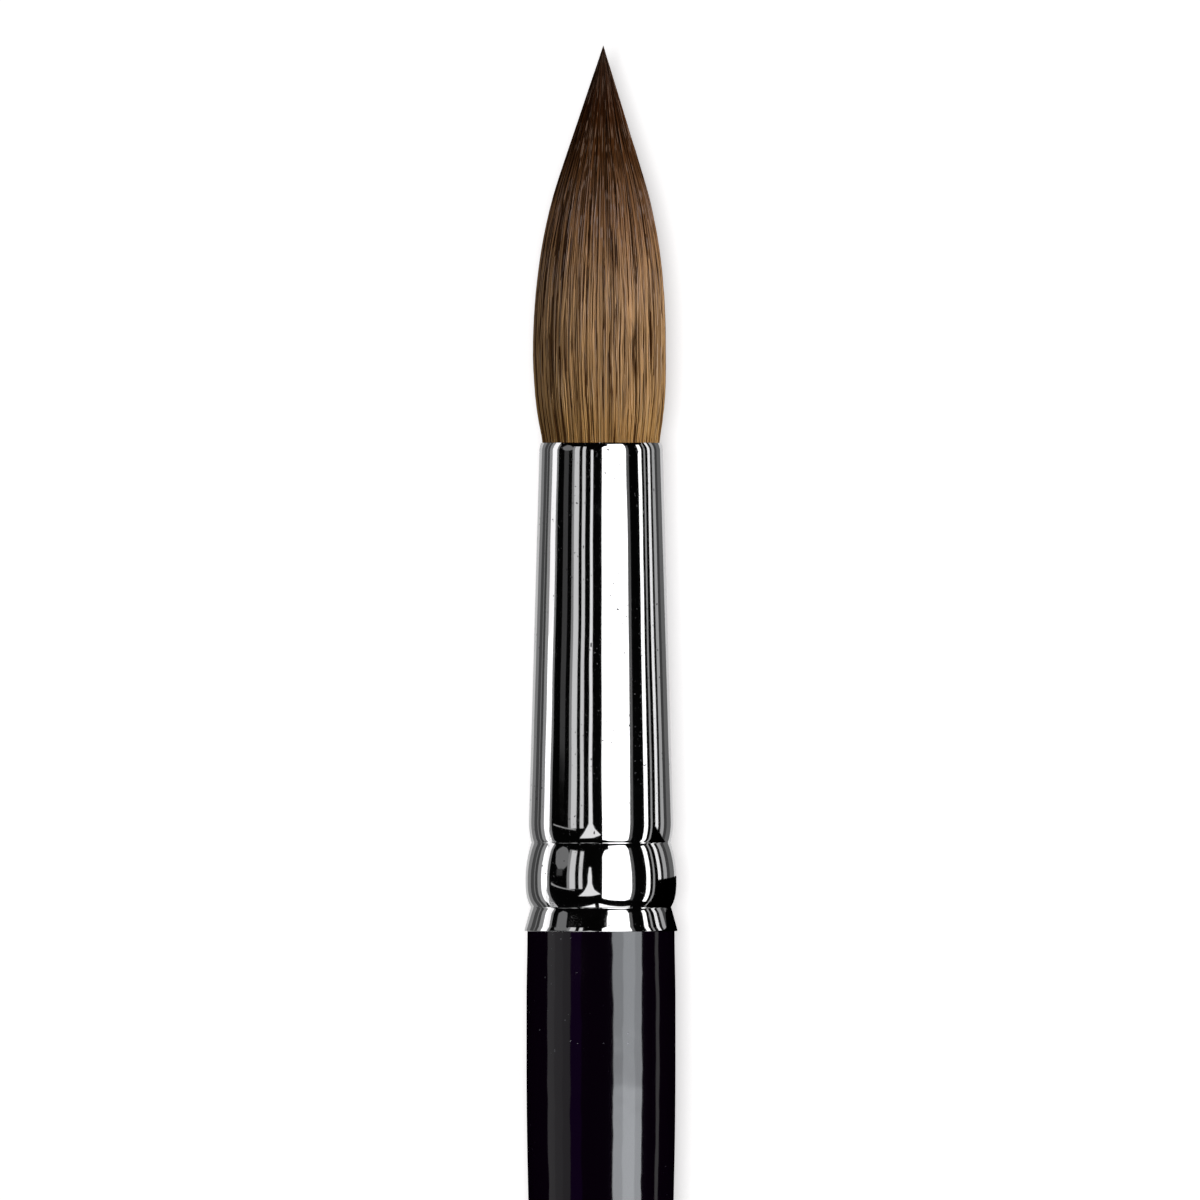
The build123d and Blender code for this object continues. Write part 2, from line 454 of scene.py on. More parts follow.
@dataclass(frozen=True)
class WoodFinish:
    """Plain turned hardwood with fine straight grain."""

    early: Colour = (0.62, 0.45, 0.27)
    late: Colour = (0.42, 0.27, 0.14)

    def material(self) -> bpy.types.Material:
        """Builds the material."""
        bench = Bench("turned_hardwood")
        grain = bench.noise(bench.stretched((18.0, 800.0, 380.0)), 1.0, 5.0)
        pores = bench.noise(bench.stretched((200.0, 4000.0, 4000.0)), 1.0, 1.0).above(0.62, 0.72)
        return bench.finish({
            "Base Color": bench.mix(grain.above(0.35, 0.65), self.early, self.late),
            "Roughness": 0.58 + pores * 0.2,
            "Normal": bench.bump(1.0 - pores, 0.00004),
        })


@dataclass(frozen=True)
class ResinFinish:
    """Cured amber resin with cloudy depth."""

    clear: Colour = (0.58, 0.38, 0.13)
    cloudy: Colour = (0.70, 0.56, 0.30)

    def material(self) -> bpy.types.Material:
        """Builds the material."""
        bench = Bench("cured_resin")
        cloud = bench.noise(bench.stretched((1.0, 1.0, 1.0)), 420.0, 4.0)
        return bench.finish({
            "Base Color": bench.mix(cloud.above(0.35, 0.7), self.clear, self.cloudy),
            "Roughness": 0.18 + cloud * 0.2,
            "Normal": bench.bump(cloud, 0.00006),
        })


@dataclass(frozen=True)
class ThreadFinish:
    """Waxed linen thread with twisted plies, darker in the hollows between them as painted shade.
    """

    shaded_hollow: Colour = (0.46, 0.40, 0.30)
    crown: Colour = (0.84, 0.79, 0.68)

    def material(self) -> bpy.types.Material:
        """Builds the material."""
        bench = Bench("waxed_thread")
        settings = {"wave_type": "BANDS", "bands_direction": "DIAGONAL"}
        values = {"Vector": bench.stretched((4000.0, 2600.0, 2600.0)), "Scale": 1.0,
                  "Distortion": 1.5}
        wave = bench.node("ShaderNodeTexWave", settings, values)
        ply = Signal(bench, wave.outputs["Fac"])
        # The hollows between the plies are painted darker: painted shade.
        return bench.finish({
            "Base Color": bench.mix(ply, self.shaded_hollow, self.crown),
            "Roughness": 0.5 + ply * 0.1,
            "Normal": bench.bump(ply, 0.00005),
        })


@dataclass(frozen=True)
class FloorFinish:
    """Plain pale paper floor."""

    colour: Colour = (0.93, 0.925, 0.925)
    grain_colour: Colour = (0.90, 0.895, 0.895)

    def material(self) -> bpy.types.Material:
        """Builds the material."""
        bench = Bench("pale_floor")
        grain = bench.noise(bench.stretched((1.0, 1.0, 1.0)), 60.0, 3.0)
        return bench.finish({
            "Base Color": bench.mix(grain, self.colour, self.grain_colour),
            "Roughness": 0.9,
            "Specular IOR Level": 0.0,
            "Emission Color": (1.0, 0.985, 0.985),
            "Emission Strength": 0.48,
        })


# Modelling


class Hand:
    """Mesh modelling with Blender's own operators, one object at a time."""

    @staticmethod
    def drop_selection() -> None:
        """Leaves edit mode and deselects every object."""
        if bpy.context.object and bpy.context.object.mode != "OBJECT":
            bpy.ops.object.mode_set(mode="OBJECT")
        bpy.ops.object.select_all(action="DESELECT")

    @classmethod
    def added(cls, name: str) -> bpy.types.Object:
        """Names the primitive that was just added and moves its place into its mesh.

        Args:
            name: Name of the piece and its mesh.

        Returns:
            The piece.
        """
        piece = bpy.context.object
        piece.name = piece.data.name = name
        bpy.ops.object.transform_apply(location=True, rotation=True, scale=True)
        return piece

    @classmethod
    def turn_profile(cls, name: str, points: Sequence[Point], height: float, steps: int,
                     smooth_angle: float = 40.0) -> bpy.types.Object:
        """Draws a profile by extruding a point along it, and spins it round the axis.

        Args:
            name: Name of the piece.
            points: Place along the axis and radius of each corner; both ends lie on the axis
                or the profile is closed.
            height: Height of the axis.
            steps: Number of steps in a full turn.
            smooth_angle: Edges up to this many degrees are smooth.

        Returns:
            The turned piece.
        """
        cls.drop_selection()
        start_x, start_radius = points[0]
        bpy.ops.mesh.primitive_plane_add(size=MM, location=(start_x, 0, height + start_radius))
        piece = cls.added(name)
        bpy.ops.object.mode_set(mode="EDIT")
        bpy.ops.mesh.select_all(action="SELECT")
        bpy.ops.mesh.merge(type="CENTER")
        for (x, radius), (next_x, next_radius) in zip(points, points[1:]):
            step = (next_x - x, 0.0, next_radius - radius)
            bpy.ops.mesh.extrude_region_move(TRANSFORM_OT_translate={"value": step})
        bpy.ops.mesh.select_all(action="SELECT")
        bpy.ops.mesh.spin(steps=steps, angle=math.tau, center=(start_x, 0, height), axis=(1, 0, 0))
        bpy.ops.mesh.select_all(action="SELECT")
        bpy.ops.mesh.remove_doubles(threshold=WELD)
        bpy.ops.mesh.normals_make_consistent(inside=False)
        bpy.ops.object.mode_set(mode="OBJECT")
        bpy.ops.object.shade_smooth_by_angle(angle=math.radians(smooth_angle))
        return piece

    @staticmethod
    def dress(piece: bpy.types.Object, material: bpy.types.Material) -> None:
        """Gives a piece one material."""
        piece.data.materials.clear()
        piece.data.materials.append(material)


def arc(start: Point, through: Point, end: Point, steps: int) -> list[Point]:
    """Walks along the circle through three points.

    Args:
        start: First point.
        through: Point on the way.
        end: Last point.
        steps: Number of steps.

    Returns:
        The points after the start.
    """
    (ax, ay), (bx, by), (cx, cy) = start, through, end
    twice = 2 * (ax * (by - cy) + bx * (cy - ay) + cx * (ay - by))
    a2, b2, c2 = ax * ax + ay * ay, bx * bx + by * by, cx * cx + cy * cy
    mid_x = (a2 * (by - cy) + b2 * (cy - ay) + c2 * (ay - by)) / twice
    mid_y = (a2 * (cx - bx) + b2 * (ax - cx) + c2 * (bx - ax)) / twice
    radius = math.hypot(ax - mid_x, ay - mid_y)
    first = math.atan2(ay - mid_y, ax - mid_x)
    last = math.atan2(cy - mid_y, cx - mid_x)
    middle = math.atan2(by - mid_y, bx - mid_x)
    turn = (last - first) % math.tau
    if (middle - first) % math.tau > turn:
        turn -= math.tau
    angles = [first + turn * i / steps for i in range(1, steps + 1)]
    return [(mid_x + radius * math.cos(a), mid_y + radius * math.sin(a)) for a in angles]


def straight(start: Point, end: Point, steps: int) -> list[Point]:
    """Walks along a straight line.

    Args:
        start: First point.
        end: Last point.
        steps: Number of steps.

    Returns:
        The points after the start.
    """
    return [(start[0] + (end[0] - start[0]) * i / steps,
             start[1] + (end[1] - start[1]) * i / steps) for i in range(1, steps + 1)]


def bezier(corners: Sequence[Point], steps: int) -> list[Point]:
    """Walks along a cubic Bezier curve.

    Args:
        corners: Start, the two handles and the end.
        steps: Number of steps.

    Returns:
        The points after the start.
    """
    made = []
    for i in range(1, steps + 1):
        t = i / steps
        weights = ((1 - t)**3, 3 * t * (1 - t)**2, 3 * t * t * (1 - t), t**3)
        made.append(tuple(sum(w * c[k] for w, c in zip(weights, corners)) for k in (0, 1)))
    return made


def rounded(before: Point, corner: Point, after: Point, radius: float, steps: int) -> list[Point]:
    """Rounds the corner between two lines.

    Args:
        before: Point on the line that arrives.
        corner: The corner.
        after: Point on the line that leaves.
        radius: Radius of the fillet.
        steps: Number of steps.

    Returns:
        The points of the fillet.
    """
    a = (Vector(before) - Vector(corner)).normalized()
    b = (Vector(after) - Vector(corner)).normalized()
    half = a.angle(b) / 2
    reach = radius / math.tan(half)
    start, end = Vector(corner) + a * reach, Vector(corner) + b * reach
    middle = Vector(corner) + (a + b).normalized() * (radius / math.sin(half) - radius)
    return [tuple(start)] + arc(tuple(start), tuple(middle), tuple(end), steps)


# Sub-assemblies


@dataclass
class Ferrule:
    """Drawn tube with a cone, a crimp, a bead, a groove and a flared rim.

    Stations run from the mouth towards the handle.

    Args:
        mouth_x: Place of the mouth along X.
        axis_height: Height of the axis.
        length: Length from the mouth to the rim.
        wall: Thickness of the wall.
        mouth_radius: Radius at the mouth.
        cone_end: Station and radius where the cone ends.
        crimp: Station and radius of the first valley.
        bead: Station and radius of the widest place between the valleys.
        bead_slopes: Slope of the bead where it leaves the crimp and where it meets the groove.
        groove: Station and radius of the second valley.
        lip: Station and radius where the flare ends.
        valley: Width of the groove's bottom.
        edge_round: Radius of the rim's edge.
        mouth_lip: Length and depth of the turned-in edge of the mouth.
        notch: Half width and depth of the rolled line in each valley.
        lip_steps: Steps along the mouth's edge.
        cone_steps: Steps along the cone.
        curve_steps: Steps along each curve between the cone and the groove.
        flare_steps: Steps along the flare.
        rim_steps: Steps round the rim's edge.
        steps: Steps in a full turn.
    """

    mouth_x: float
    axis_height: float
    length: float = 42.7 * MM
    wall: float = 0.25 * MM
    mouth_radius: float = 5.37 * MM
    cone_end: Point = (33.0 * MM, 6.30 * MM)
    crimp: Point = (34.95 * MM, 6.09 * MM)
    bead: Point = (38.2 * MM, 6.60 * MM)
    bead_slopes: Point = (0.30, -0.55)
    groove: Point = (40.62 * MM, 6.145 * MM)
    lip: Point = (42.60 * MM, 6.69 * MM)
    valley: float = 0.3 * MM
    edge_round: float = 0.07 * MM
    mouth_lip: Point = (0.75 * MM, 0.14 * MM)
    notch: Point = (0.07 * MM, 0.012 * MM)
    lip_steps: int = 10
    cone_steps: int = 40
    curve_steps: int = 12
    flare_steps: int = 6
    rim_steps: int = 5
    steps: int = 180

    def outline(self) -> list[Point]:
        """Draws the outer outline from the mouth to the rim.

        It stops short of each valley, to leave room for the valley's rolled line.

        Returns:
            Station and radius of each point.
        """
        mouth = (0.0, self.mouth_radius)
        slope = (self.cone_end[1] - self.mouth_radius) / self.cone_end[0]
        lead = self._tangent_arc(self.cone_end, slope, self.crimp)
        lip_length, lip_drop = self.mouth_lip
        start = self._leave(mouth, self.cone_end, lip_length)
        shares = [i / self.lip_steps for i in range(self.lip_steps + 1)]
        made = [(lip_length * share, start[1] - lip_drop * (1 - share) ** 2) for share in shares]
        made += straight(start, self.cone_end, self.cone_steps)
        made += lead[:-2]
        made += self._notched(self.crimp)
        made += self._swell()[1:-2]
        made += self._notched(self.groove)
        flare = self._leave(self.groove, self.lip, self.valley / 2)
        made += straight(flare, self.lip, self.flare_steps)
        rim = (self.length, self.lip[1])
        made += rounded(self.lip, rim, (self.length, 0.0), self.edge_round, self.rim_steps)
        return made

    def _swell(self) -> list[Point]:
        """Draws the bead, gentle towards the mouth and tight towards the rim.

        Returns:
            The points from the crimp to the groove, without the first.
        """
        (start, low), (top, high), (end, last) = self.crimp, self.bead, self.groove
        leave, arrive = self.bead_slopes
        rise, fall = (top - start) / 3, (end - top) / 3
        made = bezier([self.crimp, (start + rise, low + leave * rise), (top - rise, high),
                       self.bead], self.curve_steps)
        return made + bezier([self.bead, (top + fall, high), (end - fall, last - arrive * fall),
                              self.groove], self.curve_steps)

    def _notched(self, valley: Point) -> list[Point]:
        """Draws the fine rolled line at the bottom of a valley.

        Args:
            valley: Station and radius of the bottom.

        Returns:
            Its four points.
        """
        wide, deep = self.notch
        offsets = ((-wide, wide * 0.2), (-wide / 4, -deep), (wide / 4, -deep), (wide, wide * 0.2))
        return [(valley[0] + along, valley[1] + out) for along, out in offsets]

    @staticmethod
    def _leave(corner: Point, towards: Point, distance: float) -> Point:
        """Point a little way along a line."""
        way = (Vector(towards) - Vector(corner)).normalized() * distance
        return (corner[0] + way[0], corner[1] + way[1])

    def _tangent_arc(self, start: Point, slope: float, end: Point) -> list[Point]:
        """Walks along the arc that leaves along a slope and reaches the end.

        Args:
            start: First point.
            slope: Slope at the first point.
            end: Last point.

        Returns:
            The points after the start.
        """
        tangent = Vector((1.0, slope)).normalized()
        normal = Vector((-tangent[1], tangent[0]))
        chord = Vector(end) - Vector(start)
        radius = chord.length_squared / (2 * chord.dot(normal))
        centre = Vector(start) + normal * radius
        first = math.atan2(start[1] - centre[1], start[0] - centre[0])
        last = math.atan2(end[1] - centre[1], end[0] - centre[0])
        turn = (last - first + math.pi) % math.tau - math.pi
        angles = [first + turn * i / self.curve_steps for i in range(1, self.curve_steps + 1)]
        return [(centre[0] + abs(radius) * math.cos(a), centre[1] + abs(radius) * math.sin(a))
                for a in angles]

    def build(self) -> bpy.types.Object:
        """Models the tube and dresses it.

        Returns:
            The tube.
        """
        outer = self.outline()
        followed = outer[self.lip_steps + 1:1 - self.rim_steps]
        inner = [(s, r - self.wall) for s, r in reversed(followed)]
        inner[0] = (self.length, inner[0][1])
        inner += [(0.0, self.mouth_radius - self.wall)]
        section = [(self.mouth_x - s, r) for s, r in outer + inner + outer[:1]]
        piece = Hand.turn_profile("ferrule_shell", section, self.axis_height, self.steps)
        Hand.dress(piece, NickelFinish().material())
        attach(piece, Body.ROOT.value)
        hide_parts("ferrule")
        return piece


@dataclass
class Handle:
    """Lacquered handle: a full shoulder, a short barrel and a long taper to a domed tail.

    Stations run from the rim towards the tail.

    Args:
        rim_x: Place of the ferrule's rim along X.
        axis_height: Height of the axis.
        length: Length from the rim to the tail.
        coat: Thickness of the lacquer.
        shoulder_radius: Radius at the rim.
        barrel_radius: Radius of the barrel.
        barrel: Stations between which the barrel lies.
        fullness: Curve handle that keeps the start of the taper full.
        draw: Curve handle that draws the taper down to the tail.
        tail_radius: Radius of the dome at the tail.
        collar: Station and radius of the two corners that hide in the flared rim.
        shoulder_steps: Steps along the shoulder.
        barrel_steps: Steps along the barrel.
        taper_steps: Steps along the taper.
        dome_steps: Steps round the dome.
        steps: Steps in a full turn.
    """

    rim_x: float
    axis_height: float
    length: float = 150.5 * MM
    coat: float = 0.2 * MM
    shoulder_radius: float = 6.44 * MM
    barrel_radius: float = 6.52 * MM
    barrel: Point = (6.0 * MM, 12.0 * MM)
    fullness: Point = (38.0 * MM, 6.52 * MM)
    draw: Point = (78.0 * MM, 3.4 * MM)
    tail_radius: float = 2.5 * MM
    collar: tuple[Point, ...] = ((-1.3 * MM, 6.17 * MM), (-0.35 * MM, 6.44 * MM))
    shoulder_steps: int = 10
    barrel_steps: int = 6
    taper_steps: int = 70
    dome_steps: int = 16
    steps: int = 160

    def outline(self) -> list[Point]:
        """Draws the outer outline from the collar under the rim to the tail.

        Returns:
            Station and radius of each point.
        """
        shoulder = (0.0, self.shoulder_radius)
        third = self.barrel[0] / 3
        barrel_start = (self.barrel[0], self.barrel_radius)
        barrel_end = (self.barrel[1], self.barrel_radius)
        swell = [shoulder, (third, self.shoulder_radius),
                 (2 * third, self.barrel_radius), barrel_start]
        dome = (self.length - self.tail_radius, self.tail_radius)
        eighth = self.tail_radius * math.sqrt(0.5)
        made = [self.collar[0], self.collar[1], shoulder]
        made += bezier(swell, self.shoulder_steps)
        made += straight(barrel_start, barrel_end, self.barrel_steps)
        made += bezier([barrel_end, self.fullness, self.draw, dome], self.taper_steps)
        made += arc(dome, (dome[0] + eighth, eighth), (self.length, 0.0), self.dome_steps)
        return made

    def build(self) -> bpy.types.Object:
        """Models the lacquer coat and dresses it.

        Returns:
            The coat.
        """
        outer = self.outline()
        inner = [(s, max(r - self.coat, 0.0)) for s, r in reversed(outer[:-1])]
        inner = [(self.length - self.coat, 0.0)] + [p for p in inner if p[1] > self.coat]
        section = [(self.rim_x - s, r) for s, r in outer + inner + outer[:1]]
        piece = Hand.turn_profile("handle_coat", section, self.axis_height, self.steps)
        Hand.dress(piece, LacquerFinish().material())
        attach(piece, Body.ROOT.value)
        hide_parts("handle_lacquer")
        return piece


@dataclass
class Filling:
    """What the ferrule and the coat hold: the wood, the glue, the plug, the thread and the root."""

    nodes: dict[str, bpy.types.Object]

    def build(self) -> list[bpy.types.Object]:
        """Dresses the inner nodes.

        Returns:
            The nodes.
        """
        resin = ResinFinish().material()
        worn = {
            "handle_core": WoodFinish().material(),
            "tenon_glue": resin,
            "root_glue_plug": resin,
            "root_thread": ThreadFinish().material(),
            "tuft_root": RootHairFinish().material(),
        }
        for name, material in worn.items():
            Hand.dress(self.nodes[name], material)
        return [self.nodes[name] for name in worn]


@dataclass
class Zone:
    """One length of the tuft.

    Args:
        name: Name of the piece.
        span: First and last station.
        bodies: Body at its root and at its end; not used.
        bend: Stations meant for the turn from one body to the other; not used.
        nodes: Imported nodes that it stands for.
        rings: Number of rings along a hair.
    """

    name: str
    span: Point
    bodies: tuple[Body, Body]
    bend: Point
    nodes: tuple[str, ...]
    rings: int


@dataclass
class Tuft:
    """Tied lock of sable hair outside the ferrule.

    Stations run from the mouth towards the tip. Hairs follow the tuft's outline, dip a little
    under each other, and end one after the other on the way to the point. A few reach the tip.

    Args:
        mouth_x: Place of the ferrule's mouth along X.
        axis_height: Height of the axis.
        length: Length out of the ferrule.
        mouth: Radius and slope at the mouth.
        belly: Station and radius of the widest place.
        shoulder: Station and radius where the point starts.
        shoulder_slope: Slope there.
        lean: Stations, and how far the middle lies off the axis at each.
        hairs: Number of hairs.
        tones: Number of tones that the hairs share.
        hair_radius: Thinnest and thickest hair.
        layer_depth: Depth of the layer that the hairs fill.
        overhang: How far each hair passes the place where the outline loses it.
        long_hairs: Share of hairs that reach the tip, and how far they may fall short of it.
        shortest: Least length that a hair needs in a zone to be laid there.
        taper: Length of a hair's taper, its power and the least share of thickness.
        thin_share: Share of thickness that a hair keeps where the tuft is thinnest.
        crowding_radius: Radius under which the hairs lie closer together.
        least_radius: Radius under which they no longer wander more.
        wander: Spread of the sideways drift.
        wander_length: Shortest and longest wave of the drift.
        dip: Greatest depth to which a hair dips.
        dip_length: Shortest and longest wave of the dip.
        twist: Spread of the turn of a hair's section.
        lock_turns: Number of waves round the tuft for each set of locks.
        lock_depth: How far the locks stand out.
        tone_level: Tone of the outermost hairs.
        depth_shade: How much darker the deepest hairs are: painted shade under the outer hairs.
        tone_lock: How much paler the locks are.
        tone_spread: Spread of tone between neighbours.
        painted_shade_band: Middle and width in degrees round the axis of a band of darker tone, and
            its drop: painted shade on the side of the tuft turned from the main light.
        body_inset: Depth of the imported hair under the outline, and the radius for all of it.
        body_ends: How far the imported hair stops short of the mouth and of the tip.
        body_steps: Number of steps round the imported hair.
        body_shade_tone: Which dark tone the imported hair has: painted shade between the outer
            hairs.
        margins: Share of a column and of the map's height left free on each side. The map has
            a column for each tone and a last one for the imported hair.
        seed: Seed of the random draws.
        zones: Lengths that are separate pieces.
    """

    mouth_x: float
    axis_height: float
    length: float = TUFT_LENGTH
    mouth: Point = (5.07 * MM, 0.24)
    belly: Point = (8.1 * MM, 5.83 * MM)
    shoulder: Point = (23.0 * MM, 3.81 * MM)
    shoulder_slope: float = -0.30
    lean: tuple[Point, ...] = ((0.0, 0.0), (8.0 * MM, 0.15 * MM), (20.0 * MM, 0.02 * MM),
                               (TUFT_LENGTH, -0.20 * MM))
    hairs: int = 2600
    tones: int = 96
    hair_radius: Point = (0.042 * MM, 0.088 * MM)
    layer_depth: float = 0.42 * MM
    overhang: float = 0.6 * MM
    long_hairs: Point = (0.06, 0.8 * MM)
    shortest: float = 0.5 * MM
    taper: tuple[float, float, float] = (7.0 * MM, 0.7, 0.02)
    thin_share: float = 0.4
    crowding_radius: float = 3.0 * MM
    least_radius: float = 0.5 * MM
    wander: float = 0.06 * MM
    wander_length: Point = (9.0 * MM, 22.0 * MM)
    dip: float = 0.12 * MM
    dip_length: Point = (6.0 * MM, 18.0 * MM)
    twist: float = 0.3
    lock_turns: tuple[int, ...] = (7, 13, 23, 41)
    lock_depth: float = 0.015 * MM
    tone_level: float = 0.58
    depth_shade: float = 0.80
    tone_lock: float = 0.03
    tone_spread: float = 0.36
    painted_shade_band: tuple[float, float, float] = (71.0, 9.0, 0.13)
    body_inset: Point = (0.30 * MM, 2.4 * MM)
    body_ends: Point = (0.02 * MM, 0.25 * MM)
    body_steps: int = 48
    body_shade_tone: int = 4
    margins: Point = (0.1, 0.01)
    seed: int = 20
    zones: tuple[Zone, ...] = field(default_factory=lambda: (
        Zone("tuft_base_hair", (-0.5 * MM, 10.0 * MM), (Body.ROOT, Body.LOWER),
             (2.0 * MM, 10.0 * MM), ("tuft_base",), 9),
        Zone("tuft_belly_hair", (10.0 * MM, 18.0 * MM), (Body.LOWER, Body.MIDDLE),
             (10.0 * MM, 18.0 * MM), ("tuft_belly",), 8),
        Zone("tuft_point_hair", (18.0 * MM, TUFT_LENGTH), (Body.MIDDLE, Body.UPPER),
             (18.0 * MM, 29.0 * MM), ("tuft_shoulder", "tuft_point"), 14),
    ))

    def radius(self, station: np.ndarray) -> np.ndarray:
        """Works out the tuft's outline.

        Args:
            station: Stations.

        Returns:
            The radius at each station.
        """
        low = self._hermite(station, 0.0, self.mouth, self.belly[0], (self.belly[1], 0.0))
        high = self._hermite(station, self.belly[0], (self.belly[1], 0.0), self.shoulder[0],
                             (self.shoulder[1], self.shoulder_slope))
        left = (self.length - station) / (self.length - self.shoulder[0])
        cone = self.shoulder[1] * np.clip(left, 0.0, 1.0)
        made = np.where(station < self.belly[0], low, high)
        made = np.where(station > self.shoulder[0], cone, made)
        return np.where(station < 0.0, self.mouth[0], made)

    @staticmethod
    def _hermite(station: np.ndarray, start: float, leave: Point, end: float,
                 arrive: Point) -> np.ndarray:
        """Works out a cubic between two stations.

        Args:
            station: Stations.
            start: Station where the cubic starts.
            leave: Radius and slope there.
            end: Station where it ends.
            arrive: Radius and slope there.

        Returns:
            The radius at each station.
        """
        span = end - start
        t = np.clip((station - start) / span, 0.0, 1.0)
        made = leave[0] * (2 * t**3 - 3 * t**2 + 1) + arrive[0] * (3 * t**2 - 2 * t**3)
        return made + span * (leave[1] * (t**3 - 2 * t**2 + t) + arrive[1] * (t**3 - t**2))

    def sideways(self, station: np.ndarray) -> np.ndarray:
        """How far the middle of the tuft leans off the axis at each station."""
        stations, offsets = zip(*self.lean)
        return np.interp(station, stations, offsets)

    def model_hair(self, rings: int) -> tuple[np.ndarray, np.ndarray, list[tuple[int, ...]]]:
        """Models one hair of unit length and radius along X.

        Args:
            rings: Number of rings along it.

        Returns:
            Its place along and round for each vertex, and its faces.
        """
        Hand.drop_selection()
        bpy.ops.mesh.primitive_circle_add(vertices=3, radius=1.0, fill_type="NGON",
                                          rotation=(0.0, math.pi / 2, 0.0))
        hair = Hand.added("hair_pattern")
        bpy.ops.object.mode_set(mode="EDIT")
        bpy.ops.mesh.select_all(action="SELECT")
        for _ in range(rings):
            step = {"value": (1.0 / rings, 0.0, 0.0)}
            bpy.ops.mesh.extrude_region_move(TRANSFORM_OT_translate=step)
        bpy.ops.mesh.select_all(action="SELECT")
        bpy.ops.mesh.normals_make_consistent(inside=False)
        bpy.ops.object.mode_set(mode="OBJECT")
        places = np.array([v.co for v in hair.data.vertices])
        along = np.round(places[:, 0] * rings) / rings
        around = np.arctan2(places[:, 2], places[:, 1])
        faces = [tuple(p.vertices) for p in hair.data.polygons]
        bpy.data.objects.remove(hair)
        return along, around, faces

    def deal_hairs(self) -> dict[str, np.ndarray]:
        """Draws what differs from hair to hair.

        Returns:
            One array for each quality.
        """
        rng = np.random.default_rng(self.seed)
        count = self.hairs
        stations = np.linspace(self.belly[0], self.length, 400)
        survive = self.radius(stations) / self.belly[1]
        end = np.interp(-rng.random(count), -survive, stations)
        depth = self.layer_depth * rng.random(count) ** 1.5
        azimuth = (np.arange(count) + rng.random(count)) * math.tau / count
        locks = sum(np.sin(azimuth * turns + rng.uniform(0.0, math.tau))
                    for turns in self.lock_turns)
        depth = np.clip(depth - self.lock_depth * locks, 0.0, self.layer_depth)
        # Deeper hairs get a darker tone: painted shade under the outer hairs.
        tone = (self.tone_level - self.depth_shade * depth / self.layer_depth
                + self.tone_lock * locks + rng.normal(0.0, self.tone_spread, count))
        # A band of darker tone round one side: painted shade on the side turned from the main
        # light.
        centre, width, drop = self.painted_shade_band
        tone -= drop * np.exp(-((np.degrees(azimuth) - centre) / width) ** 2)
        column = np.clip(tone, 0.0, 0.999) * self.tones
        long_share, long_reach = self.long_hairs
        return {
            "azimuth": azimuth,
            "end": np.where(rng.random(count) < long_share,
                            self.length - long_reach * rng.random(count),
                            np.minimum(end + self.overhang, self.length)),
            "depth": depth,
            "column": np.floor(column),
            "radius": rng.uniform(*self.hair_radius, count),
            "wander": rng.normal(0.0, self.wander, count),
            "wander_phase": rng.uniform(0.0, math.tau, count),
            "wander_length": rng.uniform(*self.wander_length, count),
            "dip": rng.uniform(0.0, self.dip, count),
            "dip_phase": rng.uniform(0.0, math.tau, count),
            "dip_length": rng.uniform(*self.dip_length, count),
            "twist": rng.normal(0.0, self.twist, count),
        }

    def lay(self, hairs: dict[str, np.ndarray], zone: Zone) -> bpy.types.Object:
        """Copies the hair along every line in one zone and joins the copies.

        Args:
            hairs: What differs from hair to hair.
            zone: The zone.

        Returns:
            The joined hairs.
        """
        along, around, faces = self.model_hair(zone.rings)
        present = hairs["end"] > zone.span[0] + self.shortest
        own = {key: value[present][:, None] for key, value in hairs.items()}
        count = int(present.sum())
        last = np.minimum(own["end"], zone.span[1])
        station = zone.span[0] + (last - zone.span[0]) * along[None, :]
        outline = self.radius(station)
        taper_length, power, least = self.taper
        taper = np.clip((own["end"] - station) / taper_length, least, 1.0) ** power
        slim = self.thin_share + (1 - self.thin_share) * outline / self.belly[1]
        thick = own["radius"] * taper * slim
        dip = own["dip"] * (1 + np.sin(math.tau * station / own["dip_length"] + own["dip_phase"]))
        crowd = np.clip(outline / self.crowding_radius, 0.0, 1.0)
        sink = thick + (own["depth"] + dip) * crowd
        radial = np.maximum(outline - sink, 0.0)
        drift = own["wander"] * np.sin(math.tau * station / own["wander_length"]
                                       + own["wander_phase"])
        angle = own["azimuth"] + drift * crowd / np.maximum(outline, self.least_radius)
        spin = around[None, :] + own["twist"]
        out, side = thick * np.cos(spin), thick * np.sin(spin)
        y = (radial + out) * np.cos(angle) - side * np.sin(angle) + self.sideways(station)
        z = (radial + out) * np.sin(angle) + side * np.cos(angle) + self.axis_height
        places = np.stack([self.mouth_x + station, y, z], axis=-1).reshape(-1, 3)
        size = len(along)
        indices = [tuple(v + i * size for v in face) for i in range(count) for face in faces]
        mesh = bpy.data.meshes.new(zone.name)
        mesh.from_pydata(places.tolist(), [], indices)
        piece = bpy.data.objects.new(zone.name, mesh)
        bpy.context.scene.collection.objects.link(piece)
        tone = np.repeat((own["column"] + 0.5) / self.tones, size, axis=1).ravel()
        self._mark(mesh, {"tone": tone, "station": (station / self.length).ravel(),
                          "ridge_highlight": np.tile(np.cos(around), count)})
        self._map_hairs(mesh, along, around, own["column"][:, 0])
        round_faces = [len(polygon.vertices) > 3 for polygon in mesh.polygons]
        mesh.polygons.foreach_set("use_smooth", round_faces)
        return piece

    @staticmethod
    def _mark(mesh: bpy.types.Mesh, qualities: dict[str, np.ndarray]) -> None:
        """Stores numbers on each vertex.

        Args:
            mesh: The mesh.
            qualities: Numbers for each vertex: tone, share of the tuft's length, and outward side,
                which lightens each hair's outer face as a painted highlight.
        """
        for name, values in qualities.items():
            layer = mesh.attributes.new(name, "FLOAT", "POINT")
            layer.data.foreach_set("value", values.astype(np.float32))

